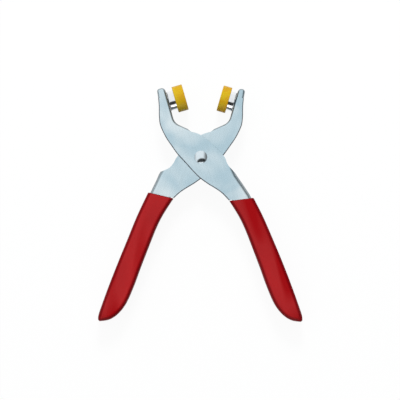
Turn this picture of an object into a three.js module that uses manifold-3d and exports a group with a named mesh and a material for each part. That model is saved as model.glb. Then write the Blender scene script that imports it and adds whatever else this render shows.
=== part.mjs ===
// Snap fastener pliers: two pressed-steel levers on one rivet, sprung open, with a pressing die on
// each jaw and a vinyl sleeve on each handle.
//
// Lengths are in millimetres and angles in degrees. The pliers lie flat: +Y runs from the pivot to the
// jaws and +Z is up. The origin is on the pivot axis, in the plane that the grips and the rivet rest on.
//
// Each lever is drawn with the jaws closed, in the outer lever's frame, about its own middle plane: the
// jaw is left of the closing plane x = 0 and the handle is right of it. The inner lever is that outline
// mirrored, and both then swing apart by half the opening angle.

import * as THREE from 'three';
import { mergeVertices } from 'three/addons/utils/BufferGeometryUtils.js';
import Module from 'manifold-3d';

const wasm = await Module();
wasm.setup();

// Driving sizes of the whole tool
const jawLength = 47.6;         // pivot axis to the tip of the jaw
const handleLength = 115;       // pivot axis to the end of the grip
const handleSpread = 33.3;      // closing plane to the outer edge of a grip, jaws closed
const bodyLength = 29.2;        // pivot axis to the place where the grip starts
const bodyReach = 10.4;         // pivot axis to the lever's open edge
const openAngle = 32.5;         // swing from closed jaws to the sprung-open rest

// Sheet and clearances
const sheet = 1.2;              // thickness of the pressed steel
const runGap = 0.3;             // between pieces that turn or slide in each other
const seatGap = 0.15;           // between flat faces that are clamped together
const overrun = 2;              // how far a cutting solid runs past what it cuts
const mergeDistance = 0.0001;   // points nearer than this are one point

// Lever channel
const innerGap = 8.5;           // between the inner lever's cheeks at the pivot
const ringBackOffset = 5.5;     // closing plane to the back of the ring die's collar
const socketBackOffset = 6.65;  // closing plane to the back of the socket die's collar
const jawReach = 18.6;          // closing plane to the jaw's open edge where it is widest
const jawTipReach = 14.6;       // closing plane to the lip's outer face at the tip
const lipReach = 15.2;          // the same at the lip's lower end
const tipOuterRadius = 1.7;     // plan radius where the web folds over to the lip
const tipInnerRadius = 2.3;     // plan radius where the die's face meets the tip
const lipLength = 5.2;          // web folded down the outer side of the tip
const throatRadius = 7;         // plan radius between the die's face and the throat
const throatAngle = 40.3;       // slope of the throat, from the web's end up to the die's face
const jawBend = 1.4;            // outer bend radius between cheek and web along the jaw
const handleBend = 3;           // outer bend radius between cheek and web along the handle
const smallestBend = 0.1;       // inner bend radius where the sheet is folded sharp
const steelEndSetback = 11.5;   // end of the steel to the end of the grip

// Grips
const gripWall = 0.9;           // vinyl over the web of the handle
const gripOpenWall = 1.6;       // vinyl over the open edges of the cheeks
const gripFaceWall = 1.05;      // vinyl over the outer lever's cheeks
const gripEdgeRadius = 2.9;     // rounding between a grip's faces and its edges
const gripLip = 0.5;            // rounding of the mouth
const outerGripMouth = 30.9;    // pivot axis to the mouth of the outer lever's grip, at its inner edge
const outerGripDrop = 2.3;      // how much further the mouth is at its outer edge
const innerGripMouth = 29.3;    // the same two for the inner lever's grip
const innerGripDrop = 0.8;
const gripTipDepth = 4.8;       // half depth of the grip at its tip

// Pivot
const rivetRadius = 2.5;
const rivetHeadRadius = 3.95;
const rivetHeadHeight = 2.2;
const rivetHeadEdge = 0.35;     // straight edge under the dome
const clinchRadius = 3.9;       // riveted-over end, flat
const spacerWall = 0.8;

// Return spring
const springWire = 1.4;
const springTurns = 3;          // whole turns, to which the angle between the legs is added
const springPitch = 1.95;
const springFoot = 6;           // end of each leg, laid along the web
const springContact = 20.5;     // pivot axis to the bend of the leg, along the handle
const springStepsPerTurn = 8;
const springSides = 5;

// Dies
const dieRadius = 6.1;          // plated cup
const cupWall = 0.8;
const cupEdge = 0.6;            // drawn corner of the cup
const ringNeckLength = 4.2;     // web face to the back of the collar
const socketNeckLength = 3.85;
const cupDepthInCollar = 1.5;
const coreShankRadius = 2;
const corePeenRadius = 2.7;
const corePeenHeight = 0.6;
const washerRadius = 3.9;
const washerThickness = 0.8;
const coreRadius = 4.4;
const collarRadius = 8.15;
const collarEdge = 0.4;
const ringCollarLength = 6.5;
const socketCollarLength = 5.55;
const collarRecessRadius = 5.3; // seats the snap part
const collarRecessDepth = 1;
const coreSetback = 0.5;        // pressing face below the recess floor
const grooveInner = 2.4;        // ring die: annular groove that curls the prongs
const grooveOuter = 3.7;
const grooveDepth = 0.7;
const pinRadius = 1.1;          // socket die: pin that centres the socket
const pinHeight = 0.9;
const pocketRadius = 3.3;
const pocketDepth = 0.6;

// Facets
const arcStep = 22.5;           // plan arcs
const bendStep = 30;            // bends between web and cheeks
const roundSegments = 32;       // turned pieces
const domeSegments = 5;
const gripStations = 18;
const gripCornerSegments = 3;

// Places worked out from the sizes above
const radians = THREE.MathUtils.degToRad;
const innerCheekIn = innerGap / 2;
const innerCheekOut = innerCheekIn + sheet;
const outerCheekIn = innerCheekOut + runGap;
const outerCheekOut = outerCheekIn + sheet;
const gripHalfDepth = outerCheekOut + runGap + gripFaceWall;
const clinchThickness = gripHalfDepth - outerCheekOut - seatGap;
const steelEnd = handleLength - steelEndSetback;
const rivetHole = rivetRadius + runGap;
const spacerRadius = rivetHole + spacerWall;
const wireRadius = springWire / 2;
const springRadius = (spacerRadius + runGap + wireRadius) / Math.cos(Math.PI / springStepsPerTurn);
const reach = handleLength + handleSpread;

// Outlines, as shares of the sizes named beside them
const dieHeightShare = 0.811;                                       // of jawLength
const jawOpenShares = [                                             // of jawReach, jawLength
  [-0.823, 0.88], [-0.876, 0.777], [-0.957, 0.664], [-1.005, 0.541], [-0.943, 0.378], [-0.823, 0.231],
];
const bodyOpenShares = [                                            // of bodyReach, bodyLength
  [-1.285, 0.192], [-1, -0.01], [-0.745, -0.199], [-0.42, -0.41], [-0.035, -0.588], [0.31, -0.722],
  [0.62, -0.86],
];
const bodyWebShares = [                                             // of bodyReach, bodyLength
  [-0.14, 0.572], [0.365, 0.445], [0.9, 0.17], [1.335, -0.12],
];
const blankCornerShares = [[-0.317, 0.657], [-0.06, 0.578], [1.68, 0.26]]; // same
const blankRadiusShares = [1, 0.35, 0.8, 0.3];                      // of bodyReach
const windowShares = [[-0.45, 0.5], [0.25, 0.28], [0.95, -0.12], [1.4, -0.4]]; // same
const trimStartShare = 0.25;                                        // of the web's end to that edge
const outerRailShares = [                                           // of handleSpread, handleLength
  [0.92, 0.67], [0.962, 0.809], [0.988, 0.93], [0.992, 0.97], [0.976, 0.994],
];
const innerRailShares = [                                           // of handleSpread, handleLength
  [0.249, 0.245], [0.283, 0.268], [0.376, 0.363], [0.423, 0.443], [0.459, 0.557], [0.49, 0.667],
  [0.512, 0.765], [0.56, 0.87], [0.652, 0.936], [0.78, 0.978], [0.94, 1],
];
const bendSwitchShares = [0.4, 0.1];                                // of bodyLength
const gripTaperShare = 0.84;                                        // of the grip's length

const placed = (shares, width, height) =>
  shares.map(([across, along]) => new THREE.Vector2(across * width, along * height));

// What differs between the two levers: the die's face, the grip's mouth, the cheeks, and the outline of
// the shoulder, which stands out on the inner lever and slopes on the outer one
const outerShape = {
  face: ringBackOffset + ringNeckLength,
  mouth: outerGripMouth,
  drop: outerGripDrop,
  cheekIn: outerCheekIn,
  cheekOut: outerCheekOut,
  webShares: [
    ...bodyWebShares, [1.39, -0.257], [1.442, -0.339], [1.54, -0.411], [1.663, -0.5], [1.75, -0.572],
  ],
  cornerShares: [...blankCornerShares, [1.69, -0.42]],
  shoulderShares: [[1.738, -0.569], [1.913, -0.753]],
  railShares: [[0.706, 0.25], [0.724, 0.278], [0.805, 0.4], [0.868, 0.539], ...outerRailShares],
};
const innerShape = {
  face: socketBackOffset + socketNeckLength,
  mouth: innerGripMouth,
  drop: innerGripDrop,
  cheekIn: innerCheekIn,
  cheekOut: innerCheekOut,
  webShares: [...bodyWebShares, [1.455, -0.284], [1.6, -0.4], [1.88, -0.494], [2.07, -0.546]],
  cornerShares: [...blankCornerShares, [2.03, -0.45]],
  shoulderShares: [[2.055, -0.543], [2.1, -0.6], [2.15, -0.743]],
  railShares: [[0.744, 0.25], [0.759, 0.278], [0.825, 0.4], [0.874, 0.539], ...outerRailShares],
};

const steel = new THREE.MeshStandardMaterial({ color: 0xc6d0d6, metalness: 0.85, roughness: 0.38 });
const plated = new THREE.MeshStandardMaterial({ color: 0xdfe2e4, metalness: 1, roughness: 0.15 });
const sprung = new THREE.MeshStandardMaterial({ color: 0x6d7072, metalness: 0.9, roughness: 0.4 });
const vinyl = new THREE.MeshStandardMaterial({ color: 0xb01c24, metalness: 0, roughness: 0.45 });
const yellow = new THREE.MeshStandardMaterial({ color: 0xe0aa22, metalness: 0, roughness: 0.4 });

// A closed geometry through rings of equally many points, capped at both ends.
function loft(rings) {
  const count = rings[0].length;
  const faces = [];
  for (let k = 0; k + 1 < rings.length; k += 1) {
    for (let i = 0; i < count; i += 1) {
      const a = k * count + i;
      const b = k * count + ((i + 1) % count);
      faces.push(a, b, b + count, a, b + count, a + count);
    }
  }
  const last = (rings.length - 1) * count;
  for (const [a, b, c] of capFaces(rings[0])) faces.push(a, c, b);
  for (const [a, b, c] of capFaces(rings[rings.length - 1])) faces.push(last + a, last + b, last + c);
  const geometry = new THREE.BufferGeometry();
  const positions = rings.flat().flatMap((point) => point.toArray());
  geometry.setAttribute('position', new THREE.Float32BufferAttribute(positions, 3));
  geometry.setIndex(faces);
  return geometry;
}

// Triangles that fill a flat ring, wound as the ring is.
function capFaces(ring) {
  const normal = new THREE.Vector3();
  ring.forEach((point, i) => {
    normal.add(new THREE.Vector3().crossVectors(point, ring[(i + 1) % ring.length]));
  });
  normal.normalize();
  const level = Math.abs(normal.z) > Math.SQRT1_2;
  const across = level ? new THREE.Vector3(1, 0, 0) : new THREE.Vector3(0, 0, 1);
  across.addScaledVector(normal, -across.dot(normal)).normalize();
  const along = new THREE.Vector3().crossVectors(normal, across);
  const flat = ring.map((point) => new THREE.Vector2(point.dot(across), point.dot(along)));
  return THREE.ShapeUtils.triangulateShape(flat, []).map(([a, b, c]) => {
    const turn = flat[b].clone().sub(flat[a]).cross(flat[c].clone().sub(flat[a]));
    return turn > 0 ? [a, b, c] : [a, c, b];
  });
}

// A closed geometry as a solid that can be joined and cut.
function solid(geometry) {
  geometry.deleteAttribute('normal');
  geometry.deleteAttribute('uv');
  const merged = mergeVertices(geometry, mergeDistance);
  const index = merged.index.array;
  const position = merged.attributes.position;
  const corner = [new THREE.Vector3(), new THREE.Vector3(), new THREE.Vector3()];
  const kept = [];
  let volume = 0;
  for (let i = 0; i < index.length; i += 3) {
    const [a, b, c] = [index[i], index[i + 1], index[i + 2]];
    if (a !== b && b !== c && c !== a) {
      kept.push([a, b, c]);
      [a, b, c].forEach((vertex, k) => corner[k].fromBufferAttribute(position, vertex));
      volume += corner[0].dot(corner[1].cross(corner[2]));
    }
  }
  const faces = volume < 0 ? kept.map(([a, b, c]) => [a, c, b]) : kept;
  const mesh = new wasm.Mesh({
    numProp: 3,
    vertProperties: new Float32Array(position.array),
    triVerts: new Uint32Array(faces.flat()),
  });
  return new wasm.Manifold(mesh);
}

// The geometry of a solid, mirrored across the closing plane for pieces of the inner lever.
function geometryOf(body, mirror = false) {
  const { vertProperties, triVerts } = body.getMesh();
  const positions = Float32Array.from(vertProperties);
  const faces = Array.from(triVerts);
  if (mirror) {
    for (let i = 0; i < positions.length; i += 3) positions[i] = -positions[i];
    faces.reverse();
  }
  const geometry = new THREE.BufferGeometry();
  geometry.setAttribute('position', new THREE.BufferAttribute(positions, 3));
  geometry.setIndex(faces);
  const flat = geometry.toNonIndexed();
  flat.computeVertexNormals();
  return flat;
}

function piece(name, geometry, material) {
  const mesh = new THREE.Mesh(geometry, material);
  mesh.name = name;
  return mesh;
}

// A body turned about Z from a closed profile of [radius, height] points.
function turned(profile) {
  const points = profile.map(([radius, height]) => new THREE.Vector2(radius, height));
  if (points[0].x > 0) points.push(points[0].clone());
  return new THREE.LatheGeometry(points, roundSegments).rotateX(Math.PI / 2);
}

// An outline in plan, extruded to the same depth above and below the middle plane.
function prism(outline, half) {
  const ring = (z) => outline.map((point) => new THREE.Vector3(point.x, point.y, z));
  return solid(loft([ring(-half), ring(half)]));
}

// The path through some corners, each rounded by its own radius.
function filletedPath(corners) {
  const path = [corners[0].at];
  for (let i = 1; i + 1 < corners.length; i += 1) {
    const { at, radius } = corners[i];
    const arriving = at.clone().sub(corners[i - 1].at).normalize();
    const leaving = corners[i + 1].at.clone().sub(at).normalize();
    const turn = Math.acos(THREE.MathUtils.clamp(arriving.dot(leaving), -1, 1));
    const side = Math.sign(arriving.cross(leaving)) || 1;
    const tangent = radius * Math.tan(turn / 2);
    const start = at.clone().addScaledVector(arriving, -tangent);
    const toCentre = new THREE.Vector2(-arriving.y, arriving.x).multiplyScalar(side * radius);
    const centre = start.clone().add(toCentre);
    const steps = Math.max(1, Math.round(THREE.MathUtils.radToDeg(turn) / arcStep));
    for (let k = 0; k <= steps; k += 1) {
      path.push(start.clone().rotateAround(centre, (side * turn * k) / steps));
    }
  }
  path.push(corners[corners.length - 1].at);
  return path;
}

// A path moved to the right of its own direction, by a distance that may differ along it.
function shifted(path, distanceAt) {
  return path.map((point, i) => {
    const arriving = point.clone().sub(path[Math.max(i - 1, 0)]).normalize();
    const leaving = path[Math.min(i + 1, path.length - 1)].clone().sub(point).normalize();
    const direction = arriving.clone().add(leaving).normalize();
    const stretch = i > 0 && i + 1 < path.length ? Math.max(direction.dot(arriving), Math.SQRT1_2) : 1;
    const right = new THREE.Vector2(direction.y, -direction.x);
    return point.clone().addScaledVector(right, distanceAt(i) / stretch);
  });
}

// The stretch of a path that runs down between two heights, with its ends worked out on the path, or on
// the line of its first or last step where the path is too short.
function between(path, top, bottom) {
  const crossing = (height) => {
    const higher = path.filter((point) => point.y > height).length;
    const i = THREE.MathUtils.clamp(higher, 1, path.length - 1);
    const [above, below] = [path[i - 1], path[i]];
    return above.clone().lerp(below, (above.y - height) / (above.y - below.y));
  };
  const inside = path.filter((point) => point.y < top && point.y > bottom);
  return [crossing(top), ...inside, crossing(bottom)];
}

// The rails are the outer and inner edges of a grip in plan, from above its mouth to its tip.
const railPoints = gripStations + 2;
const innerRail = new THREE.SplineCurve(placed(innerRailShares, handleSpread, -handleLength));
const innerSteelRail = shifted(innerRail.getPoints(railPoints), () => -gripOpenWall - runGap);

function outerRail(shape, count) {
  return new THREE.SplineCurve(placed(shape.railShares, handleSpread, -handleLength)).getPoints(count);
}

// The web side of a lever: lip, tip, face for the die, throat, and the handle's outer edge. Between the
// web's end and the shoulder the path only closes the blank, and the trim cuts it away.
function webPath(shape, end) {
  const corners = placed(shape.cornerShares, bodyReach, bodyLength);
  const shoulder = placed(shape.shoulderShares, bodyReach, bodyLength);
  const [webEnd] = corners;
  const throatHeight = webEnd.y + (shape.face + webEnd.x) * Math.tan(radians(throatAngle));
  const head = filletedPath([
    { at: new THREE.Vector2(-lipReach, jawLength - lipLength) },
    { at: new THREE.Vector2(-jawTipReach, jawLength), radius: tipOuterRadius },
    { at: new THREE.Vector2(-shape.face, jawLength), radius: tipInnerRadius },
    { at: new THREE.Vector2(-shape.face, throatHeight), radius: throatRadius },
    ...corners.map((at, i) => ({ at, radius: bodyReach * blankRadiusShares[i] })),
    { at: shoulder[0] },
  ]);
  const steelRail = shifted(outerRail(shape, railPoints), () => gripWall + runGap);
  const rail = between(steelRail, -bodyLength - sheet, -end);
  return [...head, ...shoulder.slice(1), ...rail];
}

// The open side, from the handle's end back to the lip. Its shoulder meets the mouth of the grip.
function openPath(shape, end) {
  const jaw = placed(jawOpenShares, jawReach, jawLength);
  const rail = between(innerRail.getPoints(railPoints), runGap - shape.mouth, -end);
  const body = placed(bodyOpenShares, bodyReach, bodyLength);
  const cheek = new THREE.SplineCurve([...jaw, ...body, rail[0]]).getPoints(2 * (jaw.length + body.length));
  const handle = between(innerSteelRail, runGap - shape.mouth, -end);
  return [...cheek, ...handle].reverse();
}

// A channel round the whole lever: its web side is moved in by inset, its corners are rolled between web
// and cheeks, and its open side is moved out by openShift.
function channel(shape, end, inset, half, openShift) {
  const web = webPath(shape, end);
  const open = shifted(openPath(shape, end), () => -openShift);
  const [upper, lower] = bendSwitchShares.map((share) => share * bodyLength);
  const bends = web.map((point) => {
    const blend = THREE.MathUtils.clamp((upper - point.y) / (upper - lower), 0, 1);
    return Math.max(THREE.MathUtils.lerp(jawBend, handleBend, blend) - inset, smallestBend);
  });
  const ring = (side, angle) => {
    const roll = radians(angle);
    const line = shifted(web, (i) => inset + bends[i] * (1 - Math.cos(roll)));
    return [
      ...line.map((point, i) =>
        new THREE.Vector3(point.x, point.y, side * (half - bends[i] * (1 - Math.sin(roll))))),
      ...open.map((point) => new THREE.Vector3(point.x, point.y, side * half)),
    ];
  };
  const angles = [];
  for (let angle = 0; angle <= 90; angle += bendStep) angles.push(angle);
  const under = [...angles].reverse().map((angle) => ring(-1, angle));
  return solid(loft([...under, ...angles.map((angle) => ring(1, angle))]));
}

// What is cut off the blank between the end of the jaw's web and the handle's shoulder.
function trim(shape) {
  const [webEnd] = placed(shape.cornerShares, bodyReach, bodyLength);
  const webEdge = placed(shape.webShares, bodyReach, bodyLength);
  const webBack = webEdge[webEdge.length - 1];
  return prism([
    new THREE.Vector2(webEnd.x + overrun, webEnd.y + overrun),
    webEnd.clone().lerp(webEdge[0], trimStartShare),
    ...new THREE.SplineCurve(webEdge).getPoints(3 * webEdge.length),
    new THREE.Vector2(webBack.x + overrun, webBack.y - overrun / 2),
    new THREE.Vector2(reach, webBack.y - overrun / 2),
    new THREE.Vector2(reach, jawLength),
    new THREE.Vector2(webEnd.x + 2 * overrun, jawLength),
  ], outerCheekOut + overrun);
}

// The window that takes the last of the web out from between the cheeks.
function windowCut(shape) {
  const [webEnd] = placed(shape.cornerShares, bodyReach, bodyLength);
  const webEdge = placed(shape.webShares, bodyReach, bodyLength);
  const webBack = webEdge[webEdge.length - 1];
  return prism([
    new THREE.Vector2(webEnd.x + overrun, webEnd.y + overrun),
    ...placed(windowShares, bodyReach, bodyLength),
    ...webEdge.slice(-2),
    new THREE.Vector2(webBack.x + overrun, webBack.y),
    new THREE.Vector2(webBack.x + overrun, bodyLength),
  ], shape.cheekIn);
}

// A pressed lever: a channel round its whole outline. The inner lever's channel runs inside the outer's.
function lever(shape) {
  const blank = channel(shape, steelEnd, 0, shape.cheekOut, 0);
  const cavity = channel(shape, steelEnd + overrun, sheet, shape.cheekIn, overrun);
  const rivetBore = solid(turned(cylinder(rivetHole, -reach, reach)));
  const shankBore = solid(turned(cylinder(coreShankRadius + runGap, -overrun, sheet + overrun))
    .rotateY(-Math.PI / 2).translate(-shape.face, jawLength * dieHeightShare, 0));
  return blank.subtract(cavity).subtract(windowCut(shape)).subtract(trim(shape))
    .subtract(rivetBore).subtract(shankBore);
}

function cylinder(radius, bottom, top) {
  return [[0, bottom], [radius, bottom], [radius, top], [0, top]];
}

// Evenly spaced points on a path.
function spaced(path, count) {
  const curve = new THREE.CurvePath();
  for (let i = 0; i + 1 < path.length; i += 1) curve.add(new THREE.LineCurve(path[i], path[i + 1]));
  return curve.getSpacedPoints(count);
}

// A rounded box section of a grip, between a point on its outer edge and one on its inner edge.
function gripSection(outerEdge, innerEdge, half, inset) {
  const across = outerEdge.clone().sub(innerEdge);
  const width = across.length() - 2 * inset;
  const middle = innerEdge.clone().addScaledVector(across, 0.5);
  across.normalize();
  const depth = half - inset;
  const radius = Math.min(gripEdgeRadius, width / 2, depth);
  const ring = [];
  for (let quarter = 0; quarter < 4; quarter += 1) {
    const toward = quarter === 0 || quarter === 3 ? 1 : -1;
    const up = quarter < 2 ? 1 : -1;
    for (let k = 0; k <= gripCornerSegments; k += 1) {
      const angle = radians(90 * (quarter + k / gripCornerSegments));
      const shift = toward * (width / 2 - radius) + radius * Math.cos(angle);
      const point = middle.clone().addScaledVector(across, shift);
      ring.push(new THREE.Vector3(point.x, point.y, up * (depth - radius) + radius * Math.sin(angle)));
    }
  }
  return ring;
}

// A vinyl sleeve: its outside runs along both rails, and the handle's channel is hollowed out of it.
function grip(shape) {
  const { mouth, drop } = shape;
  const density = 4 * gripStations;
  const outerTip = -handleLength * outerRailShares[outerRailShares.length - 1][1];
  const outer = spaced(between(outerRail(shape, density), -mouth - drop, outerTip), gripStations);
  const inner = spaced(between(innerRail.getPoints(density), -mouth, -handleLength), gripStations);
  const sections = outer.map((point, i) => {
    const past = Math.max(0, (i / gripStations - gripTaperShare) / (1 - gripTaperShare));
    const half = THREE.MathUtils.lerp(gripTipDepth, gripHalfDepth, Math.sqrt(1 - past * past));
    return gripSection(point, inner[i], half, i === 0 ? gripLip : 0);
  });
  const lipEdge = gripLip / (handleLength - mouth);
  const second = [outer, inner].map((rail) => rail[0].clone().lerp(rail[1], lipEdge * gripStations));
  sections.splice(1, 0, gripSection(second[0], second[1], gripHalfDepth, 0));
  const hollow = channel(shape, steelEnd + runGap, -runGap, shape.cheekOut + runGap, runGap);
  return solid(loft(sections)).subtract(hollow);
}

// The pivot rivet: a domed head over the outer lever, and a flat riveted end that the tool rests on.
function pivotRivet() {
  const bottom = -gripHalfDepth;
  const flange = bottom + clinchThickness;
  const seat = outerCheekOut + seatGap;
  const dome = [];
  const rise = rivetHeadHeight - rivetHeadEdge;
  for (let k = 0; k <= domeSegments; k += 1) {
    const angle = (Math.PI / 2) * (k / domeSegments);
    dome.push([rivetHeadRadius * Math.cos(angle), seat + rivetHeadEdge + rise * Math.sin(angle)]);
  }
  dome[domeSegments][0] = 0;
  return turned([
    [0, bottom], [clinchRadius, bottom], [clinchRadius, flange], [rivetRadius, flange],
    [rivetRadius, seat], [rivetHeadRadius, seat], ...dome,
  ]);
}

function pivotSpacer() {
  const half = innerCheekIn - runGap;
  return turned([[rivetHole, -half], [spacerRadius, -half], [spacerRadius, half], [rivetHole, half]]);
}

// The return spring's centre line. Each leg leaves the coil along its tangent, bends at the contact
// with its lever's web, and ends in a foot that lies along the web.
function springEnd(shape) {
  const web = shifted(webPath(shape, steelEnd), () => sheet + wireRadius + runGap);
  const laid = between(web.filter((point) => point.x > 0), -springContact, -springContact - springFoot);
  const bend = laid[0].clone().rotateAround(new THREE.Vector2(), radians(openAngle / 2));
  const foot = laid[laid.length - 1].clone().rotateAround(new THREE.Vector2(), radians(openAngle / 2));
  const enter = Math.atan2(bend.y, bend.x) + Math.acos(springRadius / bend.length());
  return { bend, foot, enter };
}

function springRoute() {
  const first = springEnd(outerShape);
  const second = springEnd(innerShape);
  const sweep = Math.PI - first.enter - second.enter + 2 * Math.PI * springTurns;
  const rise = (springPitch * sweep) / (2 * Math.PI);
  const steps = Math.round((springStepsPerTurn * sweep) / (2 * Math.PI));
  const route = [
    new THREE.Vector3(first.foot.x, first.foot.y, -rise / 2),
    new THREE.Vector3(first.bend.x, first.bend.y, -rise / 2),
  ];
  for (let k = 0; k <= steps; k += 1) {
    const angle = first.enter + (sweep * k) / steps;
    const height = rise * (k / steps - 0.5);
    route.push(new THREE.Vector3(springRadius * Math.cos(angle), springRadius * Math.sin(angle), height));
  }
  route.push(
    new THREE.Vector3(-second.bend.x, second.bend.y, rise / 2),
    new THREE.Vector3(-second.foot.x, second.foot.y, rise / 2),
  );
  return route;
}

// The wire round that line: one ring of points at each place, upright and square to the run.
function springRings(route) {
  return route.map((at, i) => {
    const arriving = at.clone().sub(route[Math.max(i - 1, 0)]).setZ(0).normalize();
    const leaving = route[Math.min(i + 1, route.length - 1)].clone().sub(at).setZ(0).normalize();
    const along = arriving.clone().add(leaving).normalize();
    const side = new THREE.Vector3(-along.y, along.x, 0);
    return Array.from({ length: springSides }, (_, k) => {
      const angle = (2 * Math.PI * k) / springSides;
      const out = at.clone().addScaledVector(side, wireRadius * Math.cos(angle));
      return out.setZ(at.z + wireRadius * Math.sin(angle));
    });
  });
}

// The least distance between points of the wire that lie more than half a turn apart.
function leastSpringGap(rings) {
  let least = Infinity;
  rings.forEach((ring, i) => {
    for (const other of rings.slice(i + springStepsPerTurn / 2 + 1).flat()) {
      for (const point of ring) least = Math.min(least, point.distanceTo(other));
    }
  });
  return least;
}

// Die pieces are turned about the die's axis, with height zero at the web's outer face.
const cupFloor = seatGap + cupWall;
const washerTop = -sheet - seatGap;
const peenTop = washerTop - washerThickness - seatGap;

function dieCup(neck) {
  const rim = neck + cupDepthInCollar;
  const hole = coreShankRadius + runGap;
  return turned([
    [hole, seatGap], [dieRadius - cupEdge, seatGap], [dieRadius, seatGap + cupEdge], [dieRadius, rim],
    [dieRadius - cupWall, rim], [dieRadius - cupWall, cupFloor], [hole, cupFloor],
  ]);
}

function dieWasher() {
  const hole = coreShankRadius + runGap;
  const bottom = washerTop - washerThickness;
  return turned([[hole, bottom], [washerRadius, bottom], [washerRadius, washerTop], [hole, washerTop]]);
}

// The shank goes through the cup, the web and the washer, and is peened over.
function coreShank() {
  const seat = cupFloor + seatGap;
  return [
    [0, peenTop - corePeenHeight], [coreShankRadius, peenTop - corePeenHeight],
    [corePeenRadius, peenTop - corePeenHeight / 2], [corePeenRadius, peenTop],
    [coreShankRadius, peenTop], [coreShankRadius, seat], [coreRadius, seat],
  ];
}

function ringDieCore() {
  const face = ringNeckLength + ringCollarLength - collarRecessDepth - coreSetback;
  return turned([
    ...coreShank(), [coreRadius, face], [grooveOuter, face], [grooveOuter, face - grooveDepth],
    [grooveInner, face - grooveDepth], [grooveInner, face], [0, face],
  ]);
}

function socketDieCore() {
  const face = socketNeckLength + socketCollarLength - collarRecessDepth - coreSetback;
  const floor = face - pocketDepth;
  return turned([
    ...coreShank(), [coreRadius, face], [pocketRadius, face], [pocketRadius, floor],
    [pinRadius, floor], [pinRadius, floor + pinHeight], [0, floor + pinHeight],
  ]);
}

// The collar is pushed over the cup's rim, and its front recess holds the snap part over the core.
function dieCollar(back, length) {
  const step = back + cupDepthInCollar + seatGap;
  const front = back + length;
  const bore = coreRadius + runGap;
  return turned([
    [dieRadius + runGap, back], [collarRadius - collarEdge, back], [collarRadius, back + collarEdge],
    [collarRadius, front - collarEdge], [collarRadius - collarEdge, front],
    [collarRecessRadius, front], [collarRecessRadius, front - collarRecessDepth],
    [bore, front - collarRecessDepth], [bore, step], [dieRadius + runGap, step],
  ]);
}

// Places a die's pieces on the jaw of a lever, facing the closing plane.
function placeDie(shape, side, pieces) {
  const die = new THREE.Group();
  die.add(...pieces);
  die.position.set(-side * shape.face, jawLength * dieHeightShare, 0);
  die.rotation.y = (side * Math.PI) / 2;
  return die;
}

const pliers = new THREE.Group();
pliers.position.z = gripHalfDepth;

const outerSide = new THREE.Group();
outerSide.rotation.z = radians(openAngle / 2);
outerSide.add(
  piece('outer_lever', geometryOf(lever(outerShape)), steel),
  piece('outer_grip', geometryOf(grip(outerShape)), vinyl),
  placeDie(outerShape, 1, [
    piece('ring_die_cup', dieCup(ringNeckLength), plated),
    piece('ring_die_core', ringDieCore(), steel),
    piece('ring_die_collar', dieCollar(ringNeckLength, ringCollarLength), yellow),
    piece('ring_die_washer', dieWasher(), steel),
  ]),
);

const innerSide = new THREE.Group();
innerSide.rotation.z = -radians(openAngle / 2);
innerSide.add(
  piece('inner_lever', geometryOf(lever(innerShape), true), steel),
  piece('inner_grip', geometryOf(grip(innerShape), true), vinyl),
  placeDie(innerShape, -1, [
    piece('socket_die_cup', dieCup(socketNeckLength), plated),
    piece('socket_die_core', socketDieCore(), steel),
    piece('socket_die_collar', dieCollar(socketNeckLength, socketCollarLength), yellow),
    piece('socket_die_washer', dieWasher(), steel),
  ]),
);

const wireRings = springRings(springRoute());
console.log(`return_spring: least gap to itself ${leastSpringGap(wireRings).toFixed(2)} mm`);

pliers.add(
  outerSide,
  innerSide,
  piece('pivot_rivet', pivotRivet(), steel),
  piece('pivot_spacer', pivotSpacer(), steel),
  piece('return_spring', geometryOf(solid(loft(wireRings))), sprung),
);

export default pliers;
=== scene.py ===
"""Snap fastener pliers: the look of every piece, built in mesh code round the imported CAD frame.

Outlines are drawn in millimetres, about each lever's own middle plane and with the jaws closed, and each
piece is then placed in the frame. The levers' outlines repeat the sizes of the CAD source, apart from a
wider bend along the jaws' backs, a flatter dome on the rivet and rounded cut edges.
"""

import math

import bmesh
import bpy
from mathutils import Matrix, Vector


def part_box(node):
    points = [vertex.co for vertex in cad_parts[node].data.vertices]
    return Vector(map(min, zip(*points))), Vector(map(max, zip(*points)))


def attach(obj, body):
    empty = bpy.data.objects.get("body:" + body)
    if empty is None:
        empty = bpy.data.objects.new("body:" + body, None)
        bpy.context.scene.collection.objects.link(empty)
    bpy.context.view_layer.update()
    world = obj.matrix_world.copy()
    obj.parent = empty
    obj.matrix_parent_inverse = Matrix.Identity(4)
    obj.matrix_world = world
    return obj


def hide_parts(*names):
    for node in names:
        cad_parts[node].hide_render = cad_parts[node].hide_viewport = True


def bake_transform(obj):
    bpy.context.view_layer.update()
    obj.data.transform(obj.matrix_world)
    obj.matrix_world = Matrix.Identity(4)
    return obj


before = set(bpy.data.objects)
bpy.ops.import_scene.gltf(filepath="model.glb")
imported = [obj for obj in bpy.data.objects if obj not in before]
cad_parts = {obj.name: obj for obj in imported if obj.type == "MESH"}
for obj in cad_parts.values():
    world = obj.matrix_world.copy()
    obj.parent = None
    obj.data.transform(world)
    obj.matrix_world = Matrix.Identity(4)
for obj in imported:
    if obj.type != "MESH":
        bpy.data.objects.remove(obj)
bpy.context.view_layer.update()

MM = 0.001
low_corner, high_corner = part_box("outer_grip")
MID_HEIGHT = (low_corner.z + high_corner.z) / 2

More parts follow.
